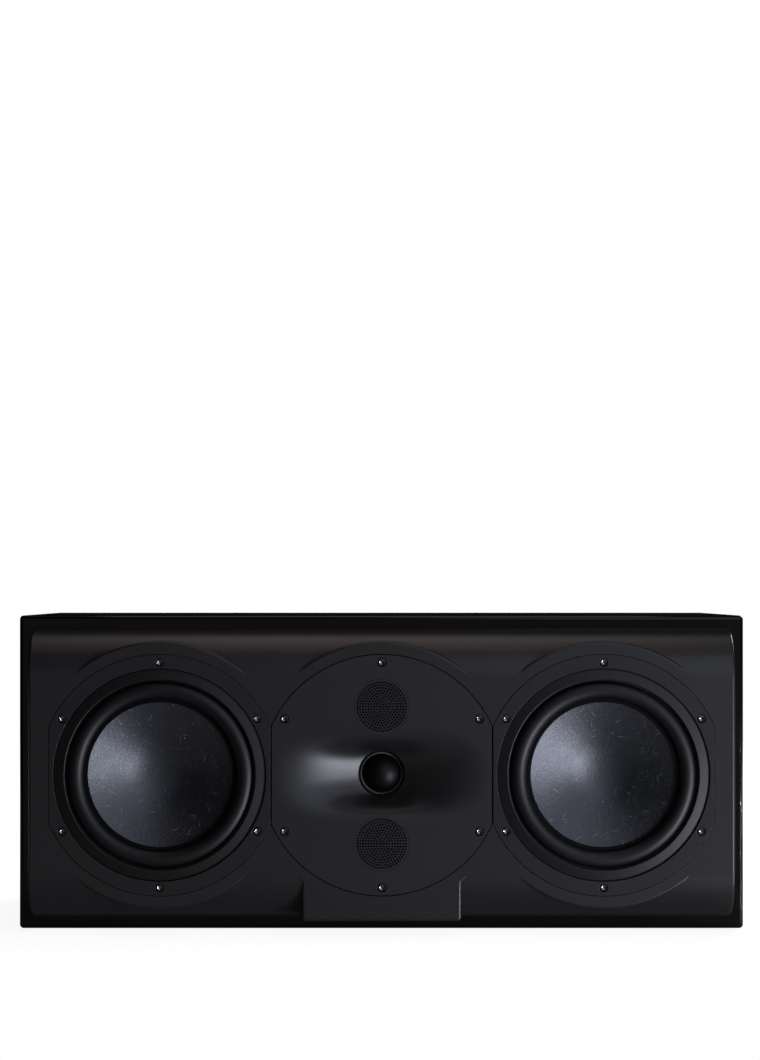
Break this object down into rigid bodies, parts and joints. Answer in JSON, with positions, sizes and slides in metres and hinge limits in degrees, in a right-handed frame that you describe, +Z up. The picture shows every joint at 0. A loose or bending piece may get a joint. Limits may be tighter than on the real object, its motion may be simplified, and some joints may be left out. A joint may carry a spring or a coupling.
{
  "type": "center channel speaker",
  "caption": "Long gloss black speaker box with a rolled satin baffle, a woofer at each end and a dome horn between perforated discs; lies below a screen.",
  "frame": {"origin": "on the floor under the middle of the speaker's bounding box, at the underside of its feet", "axes": "+X to the right seen from the front, along the speaker; the front faces -Y; +Z up"},
  "size_m": [0.555, 0.3, 0.2425],
  "materials": {
    "gloss_lacquer": "gloss black lacquer over board",
    "rear_paint": "satin black paint over board",
    "raw_board": "bare fibre board",
    "satin_paint": "satin black paint over board",
    "felt": "grey felt",
    "foot_rubber": "matte",
    "black_screw": "gloss black",
    "horn_plastic": "satin black",
    "gasket_foam": "matte",
    "grille_metal": "satin black",
    "dome_cloth": "coated black cloth",
    "copper": "enamelled copper wire",
    "steel": "zinc plated",
    "magnet": "sintered",
    "basket_metal": "satin black powder coat",
    "trim_plastic": "satin black",
    "surround_rubber": "smooth black rubber",
    "cone_fibre": "coated grey fibre",
    "spider_cloth": "impregnated cloth",
    "moulded_plastic": "satin black",
    "gilt_brass": "gilt",
    "red_knob": "red",
    "black_knob": "black",
    "board_laminate": "green laminate",
    "capacitor_film": "yellow film",
    "resistor_ceramic": "white ceramic"
  },
  "bodies": {
    "cabinet": {"bottom_panel": "gloss_lacquer", "crossover_board": "board_laminate", "crossover_capacitors": "capacitor_film", "crossover_inductors": "copper", "crossover_resistors": "resistor_ceramic", "damping_felt": "felt", "dome_magnets": "magnet", "dome_pole_plates": "steel", "dome_voice_coils": "copper", "dome_yoke_cups": "steel", "driver_screws": "black_screw", "front_baffle": "satin_paint", "horn_gasket": "gasket_foam", "horn_plate": "horn_plastic", "left_brace": "raw_board", "left_panel": "gloss_lacquer", "left_port": "moulded_plastic", "left_woofer_basket": "basket_metal", "left_woofer_gasket": "gasket_foam", "left_woofer_magnet": "magnet", "left_woofer_spider": "spider_cloth", "left_woofer_surround": "surround_rubber", "left_woofer_top_plate": "steel", "left_woofer_trim_ring": "trim_plastic", "left_woofer_yoke": "steel", "lower_grille": "grille_metal", "lower_mid_dome": "dome_cloth", "negative_post": "gilt_brass", "positive_post": "gilt_brass", "post_nuts": "gilt_brass", "rear_panel": "rear_paint", "right_brace": "raw_board", "right_panel": "gloss_lacquer", "right_port": "moulded_plastic", "right_woofer_basket": "basket_metal", "right_woofer_gasket": "gasket_foam", "right_woofer_magnet": "magnet", "right_woofer_spider": "spider_cloth", "right_woofer_surround": "surround_rubber", "right_woofer_top_plate": "steel", "right_woofer_trim_ring": "trim_plastic", "right_woofer_yoke": "steel", "rubber_feet": "foot_rubber", "terminal_cup": "moulded_plastic", "terminal_cup_screws": "black_screw", "top_panel": "gloss_lacquer", "tweeter_dome": "dome_cloth", "upper_grille": "grille_metal", "upper_mid_dome": "dome_cloth"},
    "left_cone": {"left_woofer_cone": "cone_fibre", "left_woofer_voice_coil": "copper"},
    "right_cone": {"right_woofer_cone": "cone_fibre", "right_woofer_voice_coil": "copper"},
    "positive_washer": {"positive_washer": "gilt_brass"},
    "positive_knob": {"positive_knob": "red_knob"},
    "negative_washer": {"negative_washer": "gilt_brass"},
    "negative_knob": {"negative_knob": "black_knob"}
  },
  "joints": [
    {"name": "left_cone_travel", "type": "slide", "parent": "cabinet", "child": "left_cone", "axis": [0, -1, 0], "range_m": [-0.006, 0.006], "stiffness_N_per_m": 1200, "deforming": ["left_woofer_surround", "left_woofer_spider"]},
    {"name": "right_cone_travel", "type": "slide", "parent": "cabinet", "child": "right_cone", "axis": [0, -1, 0], "range_m": [-0.006, 0.006], "stiffness_N_per_m": 1200, "deforming": ["right_woofer_surround", "right_woofer_spider"]},
    {"name": "positive_washer_slide", "type": "slide", "parent": "cabinet", "child": "positive_washer", "axis": [0, 1, 0], "range_m": [0, 0.005]},
    {"name": "positive_knob_turn", "type": "hinge", "parent": "positive_washer", "child": "positive_knob", "pos_m": [0.02, 0.118, 0.1225], "axis": [0, 1, 0], "range_deg": [0, 1800]},
    {"name": "negative_washer_slide", "type": "slide", "parent": "cabinet", "child": "negative_washer", "axis": [0, 1, 0], "range_m": [0, 0.005]},
    {"name": "negative_knob_turn", "type": "hinge", "parent": "negative_washer", "child": "negative_knob", "pos_m": [-0.02, 0.118, 0.1225], "axis": [0, 1, 0], "range_deg": [0, 1800]}
  ],
  "couplings": [
    {"joint": "positive_knob_turn", "follows": "positive_washer_slide", "rad_per_m": 6283.2},
    {"joint": "negative_knob_turn", "follows": "negative_washer_slide", "rad_per_m": 6283.2}
  ]
}
